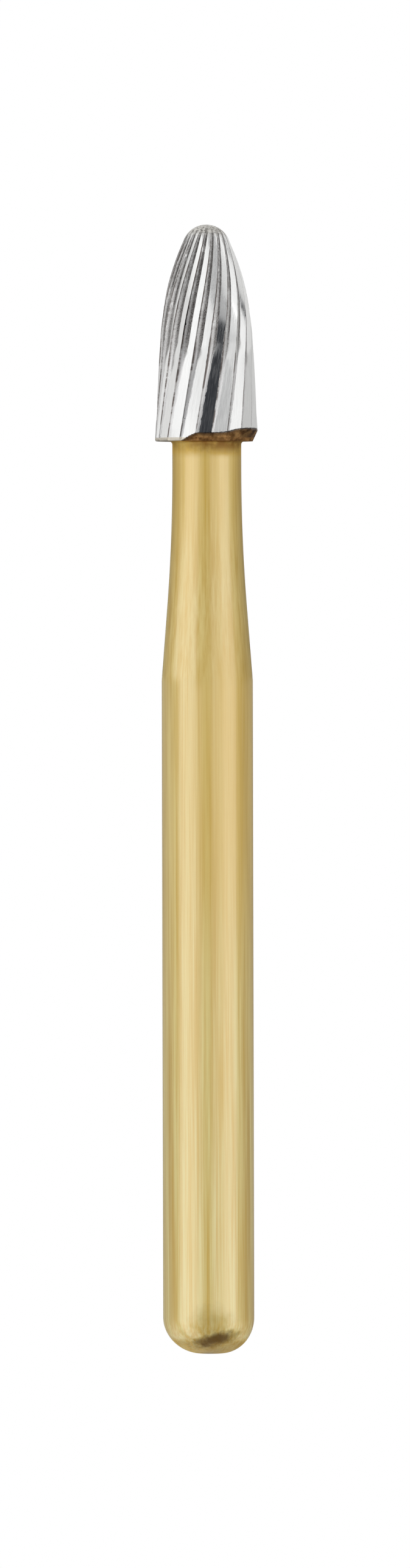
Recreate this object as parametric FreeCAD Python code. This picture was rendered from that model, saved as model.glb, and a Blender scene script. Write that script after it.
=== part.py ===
import FreeCAD, Part
import math
import os

# A friction-grip dental bur for trimming and finishing, lying on its side.
#
# It is two pieces: a tungsten carbide cutting head, and a plain steel shank whose neck is
# brazed to the flat underside of the head. The head is a bullet with twenty right-handed
# helical blades ground into it. The neck widens through a long concave curve and a slim cone
# to the straight shank, which ends in a nearly round nose with a small flat.
#
# Each piece is drawn about the Z axis with the tip up and the end of the shank at zero, then
# laid down: the tip points along +Y and the bur rests on two blade edges and on its shank.
# Lengths are in millimetres and angles in degrees.

# The whole bur
overall_length = 19.8
shank_diameter = 1.6
shank_end_flat = 0.32

# Neck
neck_diameter = 1.21
neck_length = 4.2
neck_parallel = 1.68
neck_blend_reach = 1.2
neck_root_fillet = 0.06

# Head outline, from the tip down to the underside
head_diameter = 1.8
head_length = 3.8
head_taper = 3.2
nose_radius = 0.43
nose_length = 1.95
rim_height = 0.2
rim_corner = 0.03

# Bevel on the back of the rim, ground off centre, so that it fades out on one side
bevel_angle = 25.0
bevel_depth = 0.025
bevel_runout = 0.075
bevel_side = 70.0

# Blades. Each has a broad back, a sharp edge and a narrow rake face that slopes down to the
# foot of the next back. The rake face widens from the rim to the waist, and so the groove deepens.
blade_count = 20
helix_angle = 8.8
rake_slope = 24.0
rake_share_rim = 0.12
rake_share_waist = 0.45
waist_depth = 2.1
edge_proud = 0.004

# Smoothness of the blade curves
stations = 13
station_margin = 0.1
twist_steps = 100

# Values worked out from the driving dimensions
shank_radius = shank_diameter / 2
neck_radius = neck_diameter / 2
head_radius = head_diameter / 2
pitch_angle = 360 / blade_count
underside = overall_length - head_length
rim_top = underside + rim_height
shoulder = underside - neck_length
blade_length = head_length - rim_height


def tan(angle):
    return math.tan(math.radians(angle))


def cos(angle):
    return math.cos(math.radians(angle))


def sin(angle):
    return math.sin(math.radians(angle))


def point(radius, height):
    """A point of a turned outline."""
    return FreeCAD.Vector(radius, 0, height)


def turned(edges, centre=FreeCAD.Vector()):
    """The solid that a closed outline sweeps about an upright line through centre."""
    wire = Part.Wire(edges)
    solid = Part.Face(wire).revolve(FreeCAD.Vector(), FreeCAD.Vector(0, 0, 1), 360)
    solid.translate(centre)
    return solid


# Outline of the head

def flank_radius(depth):
    """The tapered flank at a depth below the tip, carried on past both of its ends."""
    return head_radius - (blade_length - depth) * tan(head_taper)


def ogive():
    """Centre and radius of the arc that is tangent to the nose and to the flank."""
    run = nose_length - nose_radius
    rise = flank_radius(nose_length)
    radius = (run ** 2 + rise ** 2 - nose_radius ** 2) / (
        2 * (rise * cos(head_taper) - run * sin(head_taper) - nose_radius)
    )
    centre_depth = nose_length + radius * sin(head_taper)
    centre_radius = rise - radius * cos(head_taper)
    return centre_depth, centre_radius, radius


def ogive_radius(depth):
    """Radius of the ogive arc at a depth below the tip."""
    centre_depth, centre_radius, radius = ogive()
    return centre_radius + math.sqrt(radius ** 2 - (depth - centre_depth) ** 2)


def blade_radius(depth):
    """The outline that the blade edges follow. It runs straight on past the nose and the rim."""
    if depth < nose_length:
        return ogive_radius(depth)
    return min(flank_radius(depth), head_radius)


def head_outline():
    """Nose arc, ogive arc, tapered flank, upright rim with a rounded corner, flat underside."""
    centre_depth, centre_radius, radius = ogive()
    lean = math.degrees(math.atan2(centre_depth - nose_radius, -centre_radius))
    on_nose = nose_radius - nose_radius * sin(lean)
    mid_nose = nose_radius - nose_radius * sin((90 + lean) / 2)
    joint = point(nose_radius * cos(lean), overall_length - on_nose)
    halfway = point(nose_radius * cos((90 + lean) / 2), overall_length - mid_nose)
    mid_depth = (on_nose + nose_length) / 2
    ogive_middle = point(ogive_radius(mid_depth), overall_length - mid_depth)
    ogive_end = point(flank_radius(nose_length), overall_length - nose_length)
    tip = point(0, overall_length)
    flank_end = point(head_radius, rim_top)
    corner_start = point(head_radius, underside + rim_corner)
    corner_middle = point(head_radius - rim_corner * (1 - cos(45)), underside + rim_corner * (1 - sin(45)))
    corner_end = point(head_radius - rim_corner, underside)
    return [
        Part.Arc(tip, halfway, joint).toShape(),
        Part.Arc(joint, ogive_middle, ogive_end).toShape(),
        Part.makeLine(ogive_end, flank_end),
        Part.makeLine(flank_end, corner_start),
        Part.Arc(corner_start, corner_middle, corner_end).toShape(),
        Part.makeLine(corner_end, point(0, underside)),
        Part.makeLine(point(0, underside), tip),
    ]


# Blades

def rake_share(depth):
    """How much of the pitch the rake face takes, which shrinks from the waist to the rim."""
    step = (depth - waist_depth) / (blade_length - waist_depth)
    step = min(max(step, 0), 1)
    return rake_share_waist + step * (rake_share_rim - rake_share_waist)


def twist(depth):
    """Angle that a blade has turned between the underside and a depth below the tip."""
    step = (head_length - depth) / twist_steps
    middles = [depth + (i + 0.5) * step for i in range(twist_steps)]
    return math.degrees(sum(tan(helix_angle) / blade_radius(d) * step for d in middles))


def section_corners(depth):
    """Edge of a blade and foot of its rake face at a depth, each as a radius and an angle."""
    radius = blade_radius(depth)
    rake_angle = rake_share(depth) * pitch_angle
    groove_depth = radius * math.radians(rake_angle) * tan(rake_slope)
    return (radius + edge_proud, 0), (radius - groove_depth, rake_angle)


def blade_curves():
    """The edge of a blade and the foot of its rake face, as curves that climb the head."""
    first = head_length + station_margin
    depths = [first - (first + station_margin) * i / (stations - 1) for i in range(stations)]
    heights = [overall_length - depth for depth in depths]
    curves = []
    for corner in range(2):
        points = []
        for depth, height in zip(depths, heights):
            radius, angle = section_corners(depth)[corner]
            turn = pitch_angle / 2 + angle + twist(depth) - 90
            points.append(FreeCAD.Vector(radius * cos(turn), radius * sin(turn), height))
        curve = Part.BSplineCurve()
        curve.interpolate(Points=points, Parameters=heights)
        curves.append(curve.toShape())
    return curves


def blade_form():
    """A solid with the section of all the blades, taller than the head at both ends."""
    axis = FreeCAD.Vector(0, 0, 1)
    edge, foot = blade_curves()
    next_edge = edge.copy()
    next_edge.rotate(FreeCAD.Vector(), axis, pitch_angle)
    strips = [Part.makeRuledSurface(edge, foot), Part.makeRuledSurface(foot, next_edge)]
    walls = []
    for blade in range(blade_count):
        for strip in strips:
            wall = strip.copy()
            wall.rotate(FreeCAD.Vector(), axis, blade * pitch_angle)
            walls.append(wall)
    caps = []
    for end in (0, -1):
        corners = [curve.Vertexes[end].Point for curve in (edge, foot)]
        ring = []
        for blade in range(blade_count):
            turn = FreeCAD.Rotation(axis, blade * pitch_angle)
            ring.extend(turn.multVec(corner) for corner in corners)
        caps.append(Part.Face(Part.makePolygon(ring + ring[:1])))
    shell = Part.Shell(Part.makeCompound(walls + caps).Faces)
    shell.sewShape()
    return Part.makeSolid(shell)


def bevel_form():
    """A tall body whose lower end has the bevel, set off centre by the run-out."""
    low_radius = head_radius - bevel_depth
    bevel_height = (bevel_depth + bevel_runout + rim_corner) / tan(bevel_angle)
    high_radius = low_radius + bevel_height * tan(bevel_angle)
    top = overall_length + station_margin
    outline = [
        point(0, underside),
        point(low_radius, underside),
        point(high_radius, underside + bevel_height),
        point(high_radius, top),
        point(0, top),
    ]
    edges = [Part.makeLine(a, b) for a, b in zip(outline, outline[1:] + outline[:1])]
    away = bevel_side + 180
    return turned(edges, FreeCAD.Vector(bevel_runout * sin(away), -bevel_runout * cos(away), 0))


def cutting_head():
    blank = turned(head_outline())
    head = blank.common(blade_form())
    head = head.common(bevel_form())
    return head.Solids[0]


# Neck and shank

def shank():
    """Root fillet, parallel neck, concave blend, cone, straight shank and rounded end."""
    corner = point(neck_radius, underside - neck_parallel)
    shoulder_point = point(shank_radius, shoulder)
    cone = shoulder_point.sub(corner)
    reach = min(neck_blend_reach, 0.9 * cone.Length, 0.9 * (neck_parallel - neck_root_fillet))
    blend_start = corner.add(FreeCAD.Vector(0, 0, reach))
    blend_end = corner.add(FreeCAD.Vector(cone).normalize().multiply(reach))
    cone_lean = math.degrees(math.atan2(cone.x, -cone.z))
    blend_radius = reach / tan(cone_lean / 2)
    blend_middle = point(
        neck_radius + blend_radius * (1 - cos(cone_lean / 2)),
        blend_start.z - blend_radius * sin(cone_lean / 2),
    )
    end_flat_radius = shank_end_flat / 2
    end_round = shank_radius - end_flat_radius
    end_middle = point(end_flat_radius + end_round * sin(45), end_round * (1 - cos(45)))
    root_middle = point(
        neck_radius + neck_root_fillet * (1 - cos(45)),
        underside - neck_root_fillet * (1 - sin(45)),
    )
    root_start = point(neck_radius + neck_root_fillet, underside)
    root_end = point(neck_radius, underside - neck_root_fillet)
    round_start = point(shank_radius, end_round)
    round_end = point(end_flat_radius, 0)
    return turned([
        Part.makeLine(point(0, underside), root_start),
        Part.Arc(root_start, root_middle, root_end).toShape(),
        Part.makeLine(root_end, blend_start),
        Part.Arc(blend_start, blend_middle, blend_end).toShape(),
        Part.makeLine(blend_end, shoulder_point),
        Part.makeLine(shoulder_point, round_start),
        Part.Arc(round_start, end_middle, round_end).toShape(),
        Part.makeLine(round_end, point(0, 0)),
        Part.makeLine(point(0, 0), point(0, underside)),
    ])


# Rest on the table

def laid_down(solid):
    """Lays the upright bur on its side, touching the table at two blade edges and the shank."""
    head_support = head_radius * cos(pitch_angle / 2)
    shank_support = shank_radius - shank_end_flat / 2
    head_contact = underside + rim_corner
    lean = math.degrees(math.atan2(head_support - shank_radius, head_contact - shank_support))
    solid.translate(FreeCAD.Vector(0, 0, -overall_length / 2))
    solid.rotate(FreeCAD.Vector(), FreeCAD.Vector(1, 0, 0), lean - 90)
    contact = (head_contact - overall_length / 2) * sin(lean) - head_support * cos(lean)
    solid.translate(FreeCAD.Vector(0, 0, -contact))
    return solid


os.makedirs("parts", exist_ok=True)
for name, make in (("cutting_head", cutting_head), ("shank", shank)):
    laid_down(make()).exportStep("parts/" + name + ".step")
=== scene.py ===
import math

import bpy
import numpy as np
from mathutils import Matrix, Vector


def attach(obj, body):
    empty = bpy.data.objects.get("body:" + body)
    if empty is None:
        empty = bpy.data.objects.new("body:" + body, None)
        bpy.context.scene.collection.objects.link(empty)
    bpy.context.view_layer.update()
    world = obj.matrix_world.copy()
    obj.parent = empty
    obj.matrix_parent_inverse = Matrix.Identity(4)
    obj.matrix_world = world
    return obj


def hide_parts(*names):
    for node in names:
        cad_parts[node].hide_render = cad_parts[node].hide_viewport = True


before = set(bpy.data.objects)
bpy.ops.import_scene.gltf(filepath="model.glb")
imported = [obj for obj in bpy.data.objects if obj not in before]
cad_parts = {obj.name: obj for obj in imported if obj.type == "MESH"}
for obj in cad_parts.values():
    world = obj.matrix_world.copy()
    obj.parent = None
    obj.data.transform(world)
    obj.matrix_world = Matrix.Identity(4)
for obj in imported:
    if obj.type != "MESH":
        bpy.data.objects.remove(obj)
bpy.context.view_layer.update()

# A dental bur on its side: a fluted carbide head on a gold-plated steel shank. Both pieces are
# rebuilt here from the same outline as their solids, with finer faces, chipped blade edges and
# the marks of grinding. Each is made about the Z axis in millimetres, tip up, and laid down.
# Depths are measured down from the tip, and heights up from the far end of the shank.

MM = 0.001

# The shank and neck, in millimetres
LENGTH = 19.8
SHANK_RADIUS = 0.8
END_FLAT = 0.16
END_ASIDE = 0.035
NECK_RADIUS = 0.605
NECK_LENGTH = 4.2
NECK_PARALLEL = 1.68
BLEND_REACH = 1.2
ROOT_FILLET = 0.06

# The head, with its nose, its rim and the bevel behind the rim
HEAD_RADIUS = 0.9
HEAD_LENGTH = 3.8
HEAD_TAPER = math.radians(3.2)
NOSE_RADIUS = 0.43
NOSE_LENGTH = 1.95
RIM_HEIGHT = 0.2
RIM_CORNER = 0.03
RIM_FLARE = 0.0085
BEVEL_ANGLE = math.radians(25)
BEVEL_DEPTH = 0.025
BEVEL_RUNOUT = 0.075
BEVEL_SIDE = math.radians(70)
BEVEL_STEP = 0.19
BEVEL_SUNK = 0.05

# The blades. The second grinding pass starts and ends between two depths each.
BLADES = 20
HELIX = math.radians(8.8)
RAKE_SLOPE = math.radians(24)
RAKE_RIM = 0.12
RAKE_WAIST = 0.45
WAIST_DEPTH = 2.1
BACK_BULGE = 0.0015
SECOND_PASS = 0.07
SECOND_PASS_STARTS = (2.05, 2.4)
SECOND_PASS_ENDS = (2.6, 3.5)

PITCH = math.tau / BLADES
UNDERSIDE = LENGTH - HEAD_LENGTH
BLADE_LENGTH = HEAD_LENGTH - RIM_HEIGHT
SHOULDER = UNDERSIDE - NECK_LENGTH
END_ROUND = SHANK_RADIUS - END_FLAT

# Rings of points along the pieces, and points across one blade as shares of its rake and back
NOSE_RINGS = 34
BODY_RINGS = 430
RIM_RINGS = 30
CORNER_RINGS = 5
END_RINGS = 28
SHAFT_RINGS = 61
SLOPE_RINGS = 16
CURVE_RINGS = 30
NECK_RINGS = 8
FILLET_RINGS = 10
SHANK_COLUMNS = 256
RAKE_STEPS = (0.0, 0.3, 0.7)
BACK_STEPS = (0.0, 0.12, 0.28, 0.5, 0.72, 0.96)
FOOT = len(RAKE_STEPS)
ACROSS = len(RAKE_STEPS) + len(BACK_STEPS)

# Wear of the head
SEED = 7
BLADES_UNEVEN = (-0.004, 0.012)
CHIP_LOW = 0.0008
CHIP_HIGH = 0.009
DOME_GRAIN = 0.0016
SHARP_FOOT_DEPTH = 1.6


def smoothstep(x, low, high):
    """0 below low, 1 above high and a smooth step between them."""
    t = np.clip((x - low) / (high - low), 0, 1)
    return t * t * (3 - 2 * t)


# How the bur lies

def laid_down(points):
    """Points of the upright bur in millimetres, as metres in the frame where it lies."""
    head_support = HEAD_RADIUS * math.cos(PITCH / 2)
    contact = UNDERSIDE + RIM_CORNER
    lean = math.atan2(head_support - SHANK_RADIUS, contact - END_ROUND)
    s, c = math.sin(lean), math.cos(lean)
    x, y, z = points.T
    along = z - LENGTH / 2
    drop = (contact - LENGTH / 2) * s - head_support * c
    return np.column_stack((x, y * s + along * c, along * s - y * c - drop)) * MM


# Outline of the head

def flank(depth):
    """Radius of the tapered flank, which stops widening at the small flare of the rim."""
    taper = HEAD_RADIUS - (BLADE_LENGTH - depth) * math.tan(HEAD_TAPER)
    return np.minimum(taper, HEAD_RADIUS + RIM_FLARE)


def ogive_arc():
    """Centre and radius of the arc that joins the nose to the flank."""
    run = NOSE_LENGTH - NOSE_RADIUS
    rise = float(flank(NOSE_LENGTH))
    radius = (run ** 2 + rise ** 2 - NOSE_RADIUS ** 2) / (
        2 * (rise * math.cos(HEAD_TAPER) - run * math.sin(HEAD_TAPER) - NOSE_RADIUS)
    )
    return (NOSE_LENGTH + radius * math.sin(HEAD_TAPER), rise - radius * math.cos(HEAD_TAPER), radius)


OGIVE_DEPTH, OGIVE_RADIUS, OGIVE = ogive_arc()
NOSE_LEAN = math.atan2(OGIVE_DEPTH - NOSE_RADIUS, -OGIVE_RADIUS)
NOSE_END = NOSE_RADIUS * (1 - math.sin(NOSE_LEAN))


def blade_radius(depth):
    """The outline that the blade edges follow."""
    arc = OGIVE_RADIUS + np.sqrt(OGIVE ** 2 - (depth - OGIVE_DEPTH) ** 2)
    return np.where(depth < NOSE_LENGTH, arc, flank(depth))


def blank_radius(depth):
    """The outline that the head was turned to, with its round nose and the corner of its rim."""
    nose = np.sqrt(np.maximum(NOSE_RADIUS ** 2 - (NOSE_RADIUS - depth) ** 2, 0))
    into = np.clip(depth - (HEAD_LENGTH - RIM_CORNER), 0, RIM_CORNER)
    corner = RIM_CORNER - np.sqrt(RIM_CORNER ** 2 - into ** 2)
    return np.where(depth < NOSE_END, nose, blade_radius(depth) - corner)


def twist_table():
    """Depths and the angle that a blade has turned there since the underside."""
    depths = np.linspace(-0.1, HEAD_LENGTH, 2000)
    rate = math.tan(HELIX) / blade_radius(depths)
    turned = np.concatenate(([0], np.cumsum((rate[1:] + rate[:-1]) / 2 * np.diff(depths))))
    return depths, turned[-1] - turned


TWIST_DEPTHS, TWIST_ANGLES = twist_table()


def twist(depth):
    """Angle that a blade has turned at a depth."""
    return np.interp(depth, TWIST_DEPTHS, TWIST_ANGLES)


def rake_share(depth):
    """How much of the pitch the rake face takes. A second pass narrows it below the waist."""
    step = np.clip((depth - WAIST_DEPTH) / (BLADE_LENGTH - WAIST_DEPTH), 0, 1)
    narrowed = SECOND_PASS * smoothstep(depth, *SECOND_PASS_STARTS)
    narrowed = narrowed * (1 - smoothstep(depth, *SECOND_PASS_ENDS))
    return RAKE_WAIST + step * (RAKE_RIM - RAKE_WAIST) - narrowed


def chord(r0, a0, r1, a1, a):
    """Radius at angle a on the straight line between two points given by radius and angle."""
    return r0 * r1 * np.sin(a1 - a0) / (r0 * np.sin(a - a0) + r1 * np.sin(a1 - a))


def blade_section(depths):
    """Angles and radii of the points across one blade, with one row for each depth."""
    share = rake_share(depths)[:, None]
    edge = blade_radius(depths)[:, None]
    foot = edge * (1 - share * PITCH * math.tan(RAKE_SLOPE))
    rake = np.array(RAKE_STEPS)
    back = np.array(BACK_STEPS)
    rake_angle = rake * share * PITCH
    back_angle = (share + back * (1 - share)) * PITCH
    rake_face = chord(edge, 0, foot, share * PITCH, rake_angle)
    back_face = chord(foot, share * PITCH, edge, PITCH, back_angle) + 4 * BACK_BULGE * back * (1 - back)
    return np.hstack((rake_angle, back_angle)), np.hstack((rake_face, back_face))


def bevel_height(angle):
    """Height of the off-centre bevel on the back of the rim, which fades out in front.

    In front it keeps its height for longer than a plain cone would and then drops, as in the photo.
    """
    front = np.degrees(np.mod(angle + math.pi / 2 + math.pi, math.tau) - math.pi)
    off = angle + math.pi / 2 - BEVEL_SIDE - math.pi
    cone = np.hypot(HEAD_RADIUS - BEVEL_RUNOUT * np.cos(off), BEVEL_RUNOUT * np.sin(off))
    plain = (cone - HEAD_RADIUS + BEVEL_DEPTH) / math.tan(BEVEL_ANGLE)
    seen = BEVEL_STEP * smoothstep(front, -36, -3) - BEVEL_SUNK
    share = smoothstep(front, -75, -50) * (1 - smoothstep(front, 20, 45))
    return plain + share * (seen - plain)


def bevel_radius(depth, angle):
    """Radius of the bevel, past the rim above it and inside the rim below it."""
    return HEAD_RADIUS + (HEAD_LENGTH - depth - bevel_height(angle)) * math.tan(BEVEL_ANGLE)


# Meshes

def mesh_piece(name, points, faces, attributes, creases):
    """A smooth piece with named attributes.

    Each array of creases numbers the points, with 0 for none. An edge is sharp where both of its
    ends have the same number.
    """
    mesh = bpy.data.meshes.new(name)
    mesh.from_pydata(laid_down(points).tolist(), [], faces)
    mesh.validate()
    for key, values in attributes.items():
        vector = values.ndim == 2
        layer = mesh.attributes.new(key, "FLOAT_VECTOR" if vector else "FLOAT", "POINT")
        layer.data.foreach_set("vector" if vector else "value", values.astype(np.float32).ravel())
    ends = np.empty(2 * len(mesh.edges), dtype=np.int32)
    mesh.edges.foreach_get("vertices", ends)
    first, second = ends.reshape(-1, 2).T
    sharp = np.zeros(len(first), dtype=bool)
    for line in creases:
        sharp |= (line[first] > 0) & (line[first] == line[second])
    mesh.shade_smooth()
    mesh.attributes.new("sharp_edge", "BOOLEAN", "EDGE").data.foreach_set("value", sharp)
    piece = bpy.data.objects.new(name, mesh)
    bpy.context.scene.collection.objects.link(piece)
    return piece


def ring_faces(rows, columns):
    """Faces between closed rings of points, with a fan on a single point at each end."""
    faces = []
    for row in range(rows - 1):
        for column in range(columns):
            beside = (column + 1) % columns
            low, high = row * columns, (row + 1) * columns
            faces.append((low + column, high + column, high + beside, low + beside))
    first, last = rows * columns, rows * columns + 1
    end = (rows - 1) * columns
    for column in range(columns):
        beside = (column + 1) % columns
        faces.append((first, column, beside))
        faces.append((last, end + beside, end + column))
    return faces


def head_rows():
    """Depths of the rings of the head, close together on the nose and at the rim."""
    rim_start = BLADE_LENGTH - 0.02
    corner_start = HEAD_LENGTH - RIM_CORNER
    lean = np.linspace(math.pi / 2, NOSE_LEAN, NOSE_RINGS)[1:]
    nose = NOSE_RADIUS * (1 - np.sin(lean))
    body = np.linspace(NOSE_END, rim_start, BODY_RINGS)[1:]
    rim = np.linspace(rim_start, corner_start, RIM_RINGS)[1:]
    corner = corner_start + RIM_CORNER * np.sin(np.linspace(0, math.pi / 2, CORNER_RINGS))[1:]
    return np.concatenate((nose, body, rim, corner))


# Wear of the head, and where painted shade falls at the feet of the backs. Each of these gives a value
# for every point, by ring, blade and point across.

def drifting(rng, count, width):
    """Random values from ring to ring, evened out over a width."""
    return np.convolve(rng.uniform(0, 1, count), np.ones(width) / width, "same")


def foot_shade(rng, depths):
    """Where painted shade darkens the feet of the backs, which show above the waist, with smears beside
    them.
    """
    wear = np.zeros((len(depths), BLADES, ACROSS))
    wear[:, :, FOOT] = smoothstep(depths, 2.7, 2.0)[:, None]
    for blade in range(BLADES):
        where, amount = rng.uniform(2.1, 2.5), rng.uniform(0.2, 1.0)
        overlap = amount * np.exp(-np.abs((depths - where) / rng.uniform(0.08, 0.2)) ** 1.5)
        wear[:, blade, FOOT + 1] = overlap
        wear[:, blade, FOOT + 2] = 0.4 * overlap
        wear[:, blade, FOOT - 1] = rng.uniform(0.25, 0.6) * smoothstep(depths, 2.5, 2.0)
    return wear


def rake_wear(rng, depths):
    """How far the rake faces are torn, in patches, with a little of it on the backs."""
    wear = np.zeros((len(depths), BLADES, ACROSS))
    for blade in range(BLADES):
        cover = 0.5 + 0.6 * smoothstep(drifting(rng, len(depths), 41), 0.41, 0.53)
        wear[:, blade, :FOOT + 3] = np.array((0.3, 1, 1, 0.85, 0.35, 0.1)) * cover[:, None]
    return wear


def edge_scars(rng, depths):
    """Scars that come and go along the blade edges."""
    scars = np.zeros((len(depths), BLADES, ACROSS))
    for blade in range(BLADES):
        wander = smoothstep(drifting(rng, len(depths), 31), 0.44, 0.56)
        strength = rng.uniform(0.6, 1.0) * (0.5 + 0.5 * wander)
        scars[:, blade, 0] = strength
        scars[:, blade, 1] = strength * (0.2 + 0.8 * smoothstep(depths, 1.8, 2.6))
    return scars


def edge_chips(rng, depths):
    """How deep the blade edges are chipped, and how much of each chip is seen as broken."""
    chips = np.zeros((len(depths), BLADES, ACROSS))
    broken = np.zeros_like(chips)
    kernel = np.exp(-np.linspace(-2, 2, 9) ** 2)
    reach = CHIP_LOW + CHIP_HIGH * smoothstep(depths, 2.6, 1.8)
    for blade in range(BLADES):
        bites = np.convolve(rng.uniform(0, 1, len(depths)) ** 4, kernel / kernel.sum(), "same")
        bites = bites * smoothstep(drifting(rng, len(depths), 25), 0.42, 0.58)
        chips[:, blade, 0] = reach * bites
        shown = np.minimum(3 * bites, 1) * (0.2 + 0.8 * smoothstep(depths, 2.4, 1.6))
        broken[:, blade, 0] = shown
        broken[:, blade, 1] = 0.35 * shown
    return chips, broken


def head_creases(depths):
    """The lines that stay sharp: both sides of each blade edge, high feet, and the underside."""
    columns = BLADES * ACROSS
    column = np.tile(np.arange(columns), len(depths))
    across = column % ACROSS
    sharp_foot = (across == FOOT) & (np.repeat(depths, columns) < SHARP_FOOT_DEPTH)
    along = np.where((across == 0) | (across == ACROSS - 1) | sharp_foot, column + 1, 0)
    underside = np.zeros(len(depths) * columns, dtype=int)
    underside[-columns:] = 1
    return [np.append(line, (0, 0)) for line in (along, underside)]


def cutting_head():
    """The fluted bullet, with its bevel, its chips and the coordinates that its finish needs."""
    rng = np.random.default_rng(SEED)
    depths = head_rows()
    local, section = blade_section(depths)
    turns = np.arange(BLADES)[:, None] * PITCH
    flat = local[:, None] + turns + (PITCH / 2 - math.pi / 2)
    angle = flat + twist(depths)[:, None, None]
    uneven = rng.uniform(*BLADES_UNEVEN, BLADES)[:, None]
    near_tip = 1 - smoothstep(depths, 0.2, 0.5)
    blades = section[:, None] + uneven * near_tip[:, None, None]
    depth = np.broadcast_to(depths[:, None, None], blades.shape)
    radius = np.minimum(np.minimum(blades, blank_radius(depth)), bevel_radius(depth, angle))
    below = (depth - HEAD_LENGTH + bevel_height(angle)) / 0.1

    foot = foot_shade(rng, depths)
    rake = rake_wear(rng, depths)
    scar = edge_scars(rng, depths)
    edge = np.zeros_like(radius)
    edge[:, :, 0] = 1
    chips, broken = edge_chips(rng, depths)
    dome = 1 - smoothstep(depth, 0.1, 0.24)
    grain = rng.normal(0, DOME_GRAIN, radius.shape) * dome
    radius = radius - chips * (below < 0) - np.abs(grain)

    height = LENGTH - depth
    points = np.stack((radius * np.cos(angle), radius * np.sin(angle), height), axis=-1)
    unwound = np.stack((radius * np.cos(flat), radius * np.sin(flat), height), axis=-1)
    ends = np.array(((0, 0, LENGTH), (0, 0, UNDERSIDE)))
    points = np.vstack((points.reshape(-1, 3), ends))
    values = {
        "unwound": np.vstack((unwound.reshape(-1, 3), ends)),
        "upright": points,
        "below": np.append(below.ravel(), (-10, 1)),
        "dome": np.append(dome.ravel(), (1, 0)),
    }
    for key, wear in (("foot", foot), ("rake", rake), ("edge", edge), ("scar", scar), ("broken", broken)):
        values[key] = np.append(wear.ravel(), (0, 0))
    faces = ring_faces(len(depths), BLADES * ACROSS)
    return mesh_piece("ground_head", points, faces, values, head_creases(depths))


# Shank

def shank_outline():
    """Radii and heights of the shank, from its rounded end up to the underside of the head."""
    corner = Vector((NECK_RADIUS, UNDERSIDE - NECK_PARALLEL))
    cone = Vector((SHANK_RADIUS, SHOULDER)) - corner
    lean = math.atan2(cone.x, -cone.y)
    blend = BLEND_REACH / math.tan(lean / 2)
    top = corner.y + BLEND_REACH
    turn = np.linspace(0, math.pi / 2, END_RINGS)
    end = np.column_stack((END_FLAT + END_ROUND * np.sin(turn), END_ROUND * (1 - np.cos(turn))))
    up = np.linspace(END_ROUND, SHOULDER, SHAFT_RINGS)[1:]
    shaft = np.column_stack((np.full_like(up, SHANK_RADIUS), up))
    bend = np.linspace(lean, 0, CURVE_RINGS)
    curve = np.column_stack((NECK_RADIUS + blend * (1 - np.cos(bend)), top - blend * np.sin(bend)))
    slope = np.linspace(shaft[-1], curve[0], SLOPE_RINGS)[1:-1]
    neck = np.linspace(curve[-1], (NECK_RADIUS, UNDERSIDE - ROOT_FILLET), NECK_RINGS)[1:-1]
    root = np.linspace(0, math.pi / 2, FILLET_RINGS)
    fillet = np.column_stack((
        NECK_RADIUS + ROOT_FILLET * (1 - np.cos(root)),
        UNDERSIDE - ROOT_FILLET * (1 - np.sin(root)),
    ))
    return np.vstack((end, shaft, slope, curve, neck, fillet))


def plated_shank():
    """The turned shank and neck, with a rounded end that sits a little off the axis."""
    outline = shank_outline()
    angle = np.arange(SHANK_COLUMNS) / SHANK_COLUMNS * math.tau
    radius, height = outline[:, :1], outline[:, 1:]
    aside = END_ASIDE * (1 - np.minimum(height / END_ROUND, 1)) ** 2
    points = np.stack((
        radius * np.cos(angle) + aside,
        radius * np.sin(angle),
        height * np.ones(SHANK_COLUMNS),
    ), axis=-1)
    ends = np.array(((END_ASIDE, 0, 0), (0, 0, UNDERSIDE)))
    points = np.vstack((points.reshape(-1, 3), ends))
    faces = [tuple(reversed(face)) for face in ring_faces(len(outline), SHANK_COLUMNS)]
    return mesh_piece("plated_shank", points, faces, {"upright": points}, [])


# Materials

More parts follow.
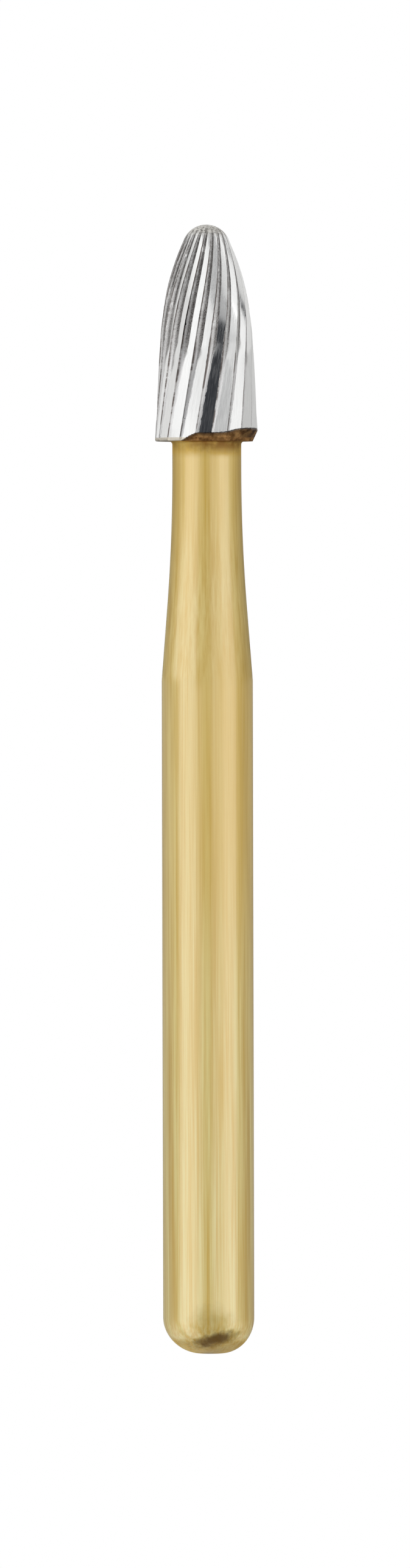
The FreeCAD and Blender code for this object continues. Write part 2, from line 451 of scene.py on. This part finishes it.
class Nodes:
    """A new material, with short names for the nodes that the materials here are made of."""

    def __init__(self, name):
        self.material = bpy.data.materials.new(name)
        self.material.use_nodes = True
        self.tree = self.material.node_tree
        self.shader = self.tree.nodes["Principled BSDF"]

    def put(self, socket, value):
        if isinstance(value, bpy.types.NodeSocket):
            self.tree.links.new(value, socket)
        else:
            socket.default_value = value

    def surface(self, values):
        """Values for the shader's own sockets, by name."""
        for name, value in values.items():
            self.put(self.shader.inputs[name], value)

    def attribute(self, name, output="Fac"):
        node = self.tree.nodes.new("ShaderNodeAttribute")
        node.attribute_name = name
        return node.outputs[output]

    def vector_math(self, operation, vector, other=(0.0, 0.0, 0.0)):
        node = self.tree.nodes.new("ShaderNodeVectorMath")
        node.operation = operation
        self.put(node.inputs[0], vector)
        self.put(node.inputs[1], other)
        return node.outputs

    def noise(self, vector, scale, detail, roughness):
        """Noise with a scale of its own along each axis."""
        node = self.tree.nodes.new("ShaderNodeTexNoise")
        self.put(node.inputs["Vector"], self.vector_math("MULTIPLY", vector, scale)["Vector"])
        node.inputs["Scale"].default_value = 1.0
        node.inputs["Detail"].default_value = detail
        node.inputs["Roughness"].default_value = roughness
        return node.outputs["Fac"]

    def split(self, vector, axis):
        node = self.tree.nodes.new("ShaderNodeSeparateXYZ")
        self.put(node.inputs["Vector"], vector)
        return node.outputs[axis]

    def apart(self, vector, centre, slant, scale):
        """Distance from a point, in steps that differ along three axes slanted about the Y axis."""
        turned = self.tree.nodes.new("ShaderNodeVectorRotate")
        turned.rotation_type = "Y_AXIS"
        self.put(turned.inputs["Vector"], self.vector_math("SUBTRACT", vector, centre)["Vector"])
        turned.inputs["Angle"].default_value = math.radians(slant)
        steps = self.vector_math("MULTIPLY", turned.outputs["Vector"], scale)["Vector"]
        return self.vector_math("LENGTH", steps)["Value"]

    def ramp(self, value, low, high, out_low=0.0, out_high=1.0):
        node = self.tree.nodes.new("ShaderNodeMapRange")
        node.interpolation_type = "SMOOTHSTEP"
        self.put(node.inputs["Value"], value)
        node.inputs["From Min"].default_value = low
        node.inputs["From Max"].default_value = high
        node.inputs["To Min"].default_value = out_low
        node.inputs["To Max"].default_value = out_high
        return node.outputs["Result"]

    def math(self, operation, a, b=0.0, c=0.0):
        node = self.tree.nodes.new("ShaderNodeMath")
        node.operation = operation
        for socket, value in zip(node.inputs, (a, b, c)):
            self.put(socket, value)
        return node.outputs["Value"]

    def times(self, product, *others):
        """Product of two values or more."""
        for value in others:
            product = self.math("MULTIPLY", product, value)
        return product

    def mix(self, factor, a, b):
        node = self.tree.nodes.new("ShaderNodeMix")
        node.data_type = "RGBA"
        self.put(node.inputs["Factor"], factor)
        self.put(node.inputs["A"], a)
        self.put(node.inputs["B"], b)
        return node.outputs["Result"]

    def bump(self, height, distance, normal=None):
        node = self.tree.nodes.new("ShaderNodeBump")
        self.put(node.inputs["Height"], height)
        node.inputs["Distance"].default_value = distance
        if normal is not None:
            self.put(node.inputs["Normal"], normal)
        return node.outputs["Normal"]


# Gold plate

GOLD_PALE = (1.0, 0.81, 0.33, 1.0)
GOLD_PALEST = (1.0, 0.87, 0.40, 1.0)
GOLD_DEEP = (0.83, 0.56, 0.12, 1.0)
GOLD_WARM = (0.90, 0.61, 0.13, 1.0)
# Gold darkened by painted shade under the head, and darker in clouds at the far end
GOLD_DARKENED = (0.32, 0.16, 0.035, 1.0)
# Colour of the dark brown blot beside the rounded end
GOLD_BLOT_DARK = (0.14, 0.072, 0.017, 1.0)
GOLD_RELIEF = 0.0004 * MM

# Soft patches on the plate: centre, slant, scales along its axes and weight. A warm patch is half way
# along, and the dark brown blot beside the rounded end is made of three parts.
WARM_PATCH = ((0.45, -0.6, 10.2), 0.0, (1.3, 0.8, 0.28), 0.5)
BLOTS = (
    ((0.17, -0.64, 0.27), 15.0, (2.2, 1.0, 6.6), 0.95),
    ((0.12, -0.78, 0.48), 0.0, (2.4, 1.2, 2.6), 0.35),
    ((0.2, -0.45, 0.09), 0.0, (2.2, 1.0, 5.0), 0.28),
)


def gold_streaks(nodes, upright):
    """Fine and broad streaks along the shank."""
    fine = nodes.noise(upright, (26.0, 26.0, 0.35), 5.0, 0.6)
    broad = nodes.noise(upright, (6.0, 6.0, 0.16), 3.0, 0.5)
    return nodes.math("ADD", nodes.times(fine, 0.55), nodes.times(broad, 0.45))


def clean_gold(nodes, upright, streak):
    """Streaked gold, palest near the far end and warmer along the neck and in one patch."""
    height = nodes.split(upright, "Z")
    pale = nodes.mix(nodes.ramp(height, 9.0, 2.0), GOLD_PALE, GOLD_PALEST)
    plate = nodes.mix(nodes.ramp(streak, 0.34, 0.66), GOLD_DEEP, pale)
    centre, slant, scale, weight = WARM_PATCH
    patch = nodes.ramp(nodes.apart(upright, centre, slant, scale), 1.2, 0.3, 0.0, weight)
    neck = nodes.ramp(height, UNDERSIDE - 3.6, UNDERSIDE - 0.3, 0.0, 0.45)
    return nodes.mix(nodes.math("MAXIMUM", patch, neck), plate, GOLD_WARM)


def gold_shade_and_darkening(nodes, upright):
    """Clouds of painted shade on the neck just under the head, and fainter dark clouds at the far end."""
    height = nodes.split(upright, "Z")
    # Painted shade on the neck just under the head, weaker towards the left
    shade_under_head = nodes.ramp(height, UNDERSIDE - 0.34, UNDERSIDE - 0.04)
    to_right = nodes.ramp(nodes.split(upright, "X"), -0.45, 0.05, 0.55, 1.0)
    near_end = nodes.ramp(height, 0.32, 0.2, 0.0, 0.42)
    ends = nodes.math("MAXIMUM", nodes.times(shade_under_head, to_right), near_end)
    cloud = nodes.noise(upright, (3.0, 3.0, 3.0), 4.0, 0.6)
    return nodes.times(ends, nodes.ramp(cloud, 0.2, 0.6, 0.35, 1.0))


def dark_blot(nodes, upright):
    """A dark brown blot beside the rounded end, with a ragged outline."""
    ragged = nodes.times(nodes.noise(upright, (9.0, 9.0, 9.0), 4.0, 0.6), 0.9)
    blot_cover = 0.0
    for centre, slant, scale, weight in BLOTS:
        away = nodes.math("ADD", nodes.apart(upright, centre, slant, scale), ragged)
        blot_cover = nodes.math("MAXIMUM", blot_cover, nodes.ramp(away, 1.75, 0.7, 0.0, weight))
    return blot_cover


def gold_finish():
    """The shank's satin gold plate, with painted shade under the head, darker clouds and a dark blot at
    the rounded end.
    """
    nodes = Nodes("satin_gold_plate")
    upright = nodes.attribute("upright", "Vector")
    streak = gold_streaks(nodes, upright)
    shade_and_darkening = gold_shade_and_darkening(nodes, upright)
    blot_cover = dark_blot(nodes, upright)
    # Painted shade under the head and the darkening at the far end, which also take the coat away there
    darkened_gold = nodes.mix(shade_and_darkening, clean_gold(nodes, upright, streak), GOLD_DARKENED)
    marked = nodes.math("MAXIMUM", shade_and_darkening, blot_cover)
    round_axis = nodes.tree.nodes.new("ShaderNodeTangent")
    round_axis.direction_type = "RADIAL"
    round_axis.axis = "Y"
    nodes.surface({
        "Base Color": nodes.mix(blot_cover, darkened_gold, GOLD_BLOT_DARK),
        "Metallic": 1.0,
        "Roughness": nodes.ramp(streak, 0.3, 0.7, 0.46, 0.54),
        "Tangent": round_axis.outputs["Tangent"],
        "Anisotropic": 0.8,
        "Coat Weight": nodes.ramp(marked, 0.0, 0.35, 1.0, 0.05),
        "Coat Roughness": 0.22,
        "Coat IOR": 2.1,
        "Normal": nodes.bump(streak, GOLD_RELIEF),
    })
    return nodes.material


# Carbide. Pairs of colours are the two that a noise goes between.

GROUND = ((0.66, 0.66, 0.65, 1.0), (0.74, 0.74, 0.73, 1.0))
TORN_HIGH = ((0.15, 0.146, 0.142, 1.0), (0.58, 0.575, 0.57, 1.0))
TORN_MIDDLE = ((0.44, 0.43, 0.42, 1.0), (0.66, 0.65, 0.64, 1.0))
TORN_LOW = ((0.62, 0.61, 0.60, 1.0), (0.72, 0.715, 0.71, 1.0))
ROUGH_DOME = ((0.23, 0.22, 0.205, 1.0), (0.66, 0.645, 0.61, 1.0))
RUN_GOLD = ((0.15, 0.07, 0.022, 1.0), (0.46, 0.26, 0.10, 1.0))
# Gold on the bevel darkened by painted shade near the joint with the carbide
RUN_GOLD_SHADED = (0.06, 0.035, 0.02, 1.0)
# Painted shade in the grooves, also used for the dark lines along the upper blade edges
GROOVE_SHADE = (0.045, 0.034, 0.028, 1.0)
SCAR_BROWN = (0.075, 0.052, 0.042, 1.0)
CHIP_GREY = (0.12, 0.10, 0.09, 1.0)
CORNER_STRAW = (0.72, 0.62, 0.44, 1.0)
# Painted shade in the gap along the joint of the head and the bevel
JOINT_SHADE_DARK = (0.05, 0.04, 0.035, 1.0)
STREAK_RELIEF = 0.0003 * MM
TORN_RELIEF = 0.002 * MM
DOME_RELIEF = 0.007 * MM


def torn_colour(nodes, unwound, height, high, smear, grit):
    """Colour of the torn rake faces, dark and streaked near the tip and pale near the rim."""
    tear = nodes.noise(unwound, (42.0, 42.0, 12.0), 6.0, 0.72)
    torn_high = nodes.mix(nodes.ramp(tear, 0.36, 0.62), *TORN_HIGH)
    torn_middle = nodes.mix(nodes.ramp(grit, 0.3, 0.65), *TORN_MIDDLE)
    torn_low = nodes.mix(nodes.ramp(grit, 0.35, 0.6), *TORN_LOW)
    torn = nodes.mix(nodes.ramp(height, LENGTH - 2.5, LENGTH - 1.9), torn_low, torn_middle)
    return nodes.mix(nodes.times(high, nodes.ramp(smear, 0.3, 0.55, 1.0, 0.7)), torn, torn_high)


def groove_shade_and_edge_lines(nodes, unwound, foot, upper, grit):
    """Painted shade as dark lines at the feet of the backs and, in the upper half, dark lines along the
    blade edges.
    """
    fading = nodes.noise(unwound, (7.0, 7.0, 1.6), 3.0, 0.6)
    beside_edge = nodes.times(nodes.ramp(nodes.attribute("edge"), 0.25, 0.7), upper)
    return nodes.times(
        nodes.math("MAXIMUM", nodes.ramp(foot, 0.05, 0.5), beside_edge),
        nodes.ramp(grit, 0.3, 0.6, 1.0, 0.6),
        nodes.ramp(fading, 0.3, 0.5, 0.6, 1.0),
        nodes.ramp(upper, 0.0, 1.0, 0.6, 1.0),
    )


def speckled_scars(nodes, grit):
    """Speckled scars along the blade edges."""
    scar = nodes.attribute("scar")
    speckled = nodes.math("MULTIPLY_ADD", nodes.math("SUBTRACT", grit, 0.5), 1.2, scar)
    return nodes.times(nodes.ramp(speckled, 0.2, 0.75, 0.35, 1.0), nodes.ramp(scar, 0.1, 0.7, 0.0, 0.88))


def run_gold(nodes, upright, grit):
    """The gold that has run on to the bevel: its colour, darkened by painted shade near the carbide, its
    cover, and a dark line of painted shade along the joint.
    """
    ragged = nodes.times(nodes.math("SUBTRACT", grit, 0.5), 0.4)
    ragged = nodes.math("ADD", nodes.attribute("below"), ragged)
    cover = nodes.ramp(ragged, 0.0, 0.06)
    thick = nodes.ramp(nodes.split(upright, "X"), 0.1, 0.5, 0.0, 0.12)
    # A dark line of painted shade along the joint with the carbide, thicker to the right
    joint_shade = nodes.ramp(nodes.math("ADD", ragged, thick), -0.09, -0.03)
    joint_shade = nodes.math("MAXIMUM", nodes.math("SUBTRACT", joint_shade, cover), 0.0)
    cloud = nodes.noise(upright, (9.0, 9.0, 9.0), 5.0, 0.6)
    gold = nodes.mix(nodes.ramp(cloud, 0.35, 0.68), *RUN_GOLD)
    # Painted shade darkens the gold towards the joint
    gold = nodes.mix(nodes.ramp(ragged, 0.7, 0.1, 0.0, 0.75), gold, RUN_GOLD_SHADED)
    return gold, cover, joint_shade


def carbide_finish():
    """Ground carbide with streaked backs, torn rake faces, painted shade in the grooves and along the
    joint with the bevel, and scarred edges.
    """
    nodes = Nodes("ground_carbide")
    unwound, upright = (nodes.attribute(name, "Vector") for name in ("unwound", "upright"))
    foot, dome, broken = (nodes.attribute(name) for name in ("foot", "dome", "broken"))
    streak = nodes.noise(unwound, (55.0, 55.0, 1.6), 6.0, 0.62)
    smear = nodes.noise(unwound, (38.0, 38.0, 5.0), 6.0, 0.7)
    grit = nodes.noise(upright, (60.0, 60.0, 60.0), 5.0, 0.6)
    pits = nodes.noise(upright, (26.0, 26.0, 26.0), 4.0, 0.65)
    height = nodes.split(upright, "Z")
    upper = nodes.ramp(height, LENGTH - 2.5, LENGTH - 1.6)
    high = nodes.ramp(height, LENGTH - 1.6, LENGTH - 0.85)
    corner = nodes.ramp(height, UNDERSIDE + 0.07, UNDERSIDE + 0.05, 0.0, 0.5)
    patchy = nodes.math("MULTIPLY_ADD", smear, 2.4, -0.2)
    rake = nodes.ramp(nodes.times(nodes.attribute("rake"), patchy), 0.42, 0.62)
    gold, gold_cover, joint_shade = run_gold(nodes, upright, grit)

    colour = nodes.mix(nodes.ramp(streak, 0.3, 0.7), *GROUND)
    layers = (
        (nodes.times(rake, 0.9), torn_colour(nodes, unwound, height, high, smear, grit)),
        # Painted shade at the feet of the backs, and dark lines along the upper blade edges
        (groove_shade_and_edge_lines(nodes, unwound, foot, upper, grit), GROOVE_SHADE),
        (speckled_scars(nodes, grit), SCAR_BROWN),
        (nodes.times(broken, 0.8), CHIP_GREY),
        (dome, nodes.mix(nodes.ramp(pits, 0.36, 0.56), *ROUGH_DOME)),
        (corner, CORNER_STRAW),
        # Painted shade along the joint of the head and the bevel
        (joint_shade, JOINT_SHADE_DARK),
        (gold_cover, gold),
    )
    for cover, layer in layers:
        colour = nodes.mix(cover, colour, layer)

    rough = nodes.ramp(streak, 0.35, 0.65, 0.08, 0.2)
    rougher = (
        (dome, 0.3),
        (rake, 0.3),
        (high, 0.12),
        (foot, 0.25),
        (broken, 0.2),
        (corner, 0.7),
        (gold_cover, 0.3),
    )
    for cover, amount in rougher:
        rough = nodes.math("ADD", rough, nodes.times(cover, amount))

    relief = nodes.bump(streak, STREAK_RELIEF)
    relief = nodes.bump(nodes.times(grit, rake), TORN_RELIEF, relief)
    relief = nodes.bump(nodes.times(pits, dome), DOME_RELIEF, relief)
    nodes.surface({"Base Color": colour, "Metallic": 1.0, "Roughness": rough, "Normal": relief})
    return nodes.material


# Pieces

head = cutting_head()
head.data.materials.append(carbide_finish())
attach(head, "root")
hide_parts("cutting_head")

shank = plated_shank()
shank.data.materials.append(gold_finish())
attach(shank, "root")
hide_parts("shank")

# Camera, straight above the bur and turned a little about its axis

scene = bpy.context.scene
scene.view_settings.view_transform = "Standard"

CAMERA_TURN = math.radians(5.1)
CAMERA_DISTANCE = 0.28
CAMERA_ROLL = math.radians(-0.1)
FRAME_HEIGHT = 27.5 * MM
AIM = Vector((-0.04 * MM, 0.09 * MM, 0.9 * MM))
SENSOR = 36.0


def around(turn):
    """Direction at an angle round the bur from straight up."""
    return Vector((math.sin(turn), 0, math.cos(turn)))


def looking(direction, roll=0.0):
    """Axes of a camera or lamp that looks back along a direction, with +Y of the frame up."""
    z = direction.normalized()
    y = (Vector((0, 1, 0)) - z * z.y).normalized()
    x = y.cross(z)
    axes = Matrix((x, y, z)).transposed().to_4x4()
    return axes @ Matrix.Rotation(roll, 4, "Z")


view_from = around(CAMERA_TURN)
camera_place = Matrix.Translation(AIM + view_from * CAMERA_DISTANCE)
camera_data = bpy.data.cameras.new("camera")
camera_data.sensor_width = SENSOR
camera_data.lens = SENSOR * CAMERA_DISTANCE / FRAME_HEIGHT
camera_data.clip_start = 0.01
camera_data.clip_end = 10.0
camera = bpy.data.objects.new("camera", camera_data)
camera.matrix_world = camera_place @ looking(view_from, CAMERA_ROLL)
scene.collection.objects.link(camera)
scene.camera = camera

# Light

SOFT_BOX_DISTANCE = 0.25

# Soft boxes: name, centre and width round the axis in degrees from the camera, radiance, and the
# reach along the axis, as the angles from square to it to both ends of the box
SOFT_BOXES = (
    ("left_shank", -52.0, 48.0, 1.3, -72, 2),
    ("left_shank_side", -78.0, 4.0, 1.3, -72, -4),
    ("left_shank_inner", -21.0, 14.0, 0.85, -60, 1),
    ("left_head", -60.5, 31.0, 1.3, 2, 60),
    ("left_head_inner", -36.5, 17.0, 1.12, 2, 60),
    ("left_head_side", -88.0, 24.0, 1.3, 5, 60),
    ("right_shank", 60.0, 36.0, 1.3, -68, 2),
    ("right_head", 60.0, 36.0, 1.2, 2, 60),
    ("middle_shank", 27.0, 34.0, 0.78, -40, 2),
    ("middle_head", 27.0, 34.0, 0.67, 2, 14),
    ("middle_nose", 28.0, 32.0, 0.95, 14, 60),
    ("gap_nose", -8.0, 38.0, 0.55, 20, 34),
    ("gap_tip", -8.0, 38.0, 0.6, 34, 60),
)


def along_axis(distance, *angles):
    """How far angles from square to the axis reach along it, at a distance from it."""
    return [distance * math.tan(math.radians(angle)) for angle in angles]


def soft_box(name, centre, width, radiance, reach_low, reach_high):
    """A long soft box beside the bur, given by the angles that it spans about the bur's axis."""
    low, high = along_axis(SOFT_BOX_DISTANCE, reach_low, reach_high)
    lamp = bpy.data.lights.new(name, "AREA")
    lamp.shape = "RECTANGLE"
    lamp.size = 2 * SOFT_BOX_DISTANCE * math.tan(math.radians(width / 2))
    lamp.size_y = high - low
    lamp.energy = radiance * math.pi * lamp.size * lamp.size_y
    box = bpy.data.objects.new(name, lamp)
    direction = around(math.radians(centre) + CAMERA_TURN)
    place = direction * SOFT_BOX_DISTANCE + Vector((0, (low + high) / 2, 0))
    box.matrix_world = Matrix.Translation(place) @ looking(direction)
    box.visible_camera = False
    scene.collection.objects.link(box)


for soft_box_row in SOFT_BOXES:
    soft_box(*soft_box_row)

# Surroundings: a white world and floor, with a dark drape behind the soft boxes and grey sheets under the
# bur, which are painted shade of the floor around the bur. The metal shows all of these, and the camera
# sees only the white.

FLOOR = 2.0
SHEET_HEIGHT = 0.02 * MM
DRAPE_DISTANCE = 0.3
DRAPE_FOLDS = 24
DRAPE_COLOUR = (0.045, 0.048, 0.056, 1.0)

# Sheets of painted floor shade: name, the left and right edge, the edges towards the shank's end and
# towards the tip, all in millimetres, and the shade of grey
FLOOR_SHADE_SHEETS = (
    ("end_floor_shade", -300, 300, -1000, -10.5, 0.72),
    ("shank_floor_shade_left", -300, 0, -10.5, 2.0, 0.31),
    ("shank_floor_shade_right", 0, 300, -10.5, 2.0, 0.27),
    ("neck_floor_shade_left", -300, 0, 2.0, 6.2, 0.18),
    ("neck_floor_shade_right", 0, 300, 2.0, 6.2, 0.14),
    ("head_floor_shade_right", 0, 300, 6.2, 8.2, 0.76),
    ("nose_floor_shade_right", 0, 300, 8.2, 12.0, 0.95),
)


def grey(shade):
    """A grey as the four numbers of a colour."""
    return (shade, shade, shade, 1.0)


def glowing(name, colour):
    """A material that glows evenly and takes no light."""
    material = bpy.data.materials.new(name)
    material.use_nodes = True
    tree = material.node_tree
    tree.nodes.clear()
    glow = tree.nodes.new("ShaderNodeEmission")
    glow.inputs["Color"].default_value = colour
    output = tree.nodes.new("ShaderNodeOutputMaterial")
    tree.links.new(glow.outputs["Emission"], output.inputs["Surface"])
    return material


def stage_sheet(name, points, faces, colour):
    """A glowing sheet of the set that the metal shows and the camera doesn't see."""
    mesh = bpy.data.meshes.new(name)
    mesh.from_pydata(points, [], faces)
    mesh.materials.append(glowing(name, colour))
    sheet = bpy.data.objects.new(name, mesh)
    sheet.visible_camera = False
    scene.collection.objects.link(sheet)


def drape(name, low, high, reach_low, reach_high, colour):
    """A drape bent round the bur, given by the angles that it spans about the bur's axis."""
    turns = np.radians(np.linspace(low, high, DRAPE_FOLDS)) + CAMERA_TURN
    ends = [Vector((0, end, 0)) for end in along_axis(DRAPE_DISTANCE, reach_low, reach_high)]
    points = [tuple(around(turn) * DRAPE_DISTANCE + end) for turn in turns for end in ends]
    faces = [(2 * i, 2 * i + 1, 2 * i + 3, 2 * i + 2) for i in range(DRAPE_FOLDS - 1)]
    stage_sheet(name, points, faces, colour)


def floor_shade_sheet(name, left, right, near, far, shade):
    """A grey glowing sheet under the bur, painted shade of the floor that the metal shows."""
    corners = ((left, near), (right, near), (right, far), (left, far))
    points = [(x * MM, y * MM, SHEET_HEIGHT) for x, y in corners]
    stage_sheet(name, points, [(0, 1, 2, 3)], grey(shade))


def white_when_seen(tree, other, socket):
    """White for the camera, in metal and through glass, and another colour for every other ray."""
    path = tree.nodes.new("ShaderNodeLightPath")
    seen = path.outputs["Is Camera Ray"]
    for ray in ("Is Glossy Ray", "Is Transmission Ray"):
        either = tree.nodes.new("ShaderNodeMath")
        either.operation = "MAXIMUM"
        tree.links.new(seen, either.inputs[0])
        tree.links.new(path.outputs[ray], either.inputs[1])
        seen = either.outputs["Value"]
    colour = tree.nodes.new("ShaderNodeMix")
    colour.data_type = "RGBA"
    tree.links.new(seen, colour.inputs["Factor"])
    colour.inputs["A"].default_value = other
    colour.inputs["B"].default_value = grey(1.0)
    tree.links.new(colour.outputs["Result"], socket)


world = bpy.data.worlds.new("studio")
world.use_nodes = True
background = world.node_tree.nodes["Background"]
white_when_seen(world.node_tree, grey(0.3), background.inputs["Color"])
scene.world = world

drape("dark_drape", -100.0, 90.0, -72, 62, DRAPE_COLOUR)
# Painted floor shade under the bur, seen only in the metal
for floor_shade_row in FLOOR_SHADE_SHEETS:
    floor_shade_sheet(*floor_shade_row)

floor_material = glowing("pale_floor", grey(1.0))
floor_glow = floor_material.node_tree.nodes["Emission"]
white_when_seen(floor_material.node_tree, grey(0.6), floor_glow.inputs["Color"])
floor_mesh = bpy.data.meshes.new("floor")
floor_mesh.from_pydata(
    [(-FLOOR, -FLOOR, 0), (FLOOR, -FLOOR, 0), (FLOOR, FLOOR, 0), (-FLOOR, FLOOR, 0)],
    [],
    [(0, 1, 2, 3)],
)
floor_mesh.materials.append(floor_material)
floor = bpy.data.objects.new("floor", floor_mesh)
scene.collection.objects.link(floor)
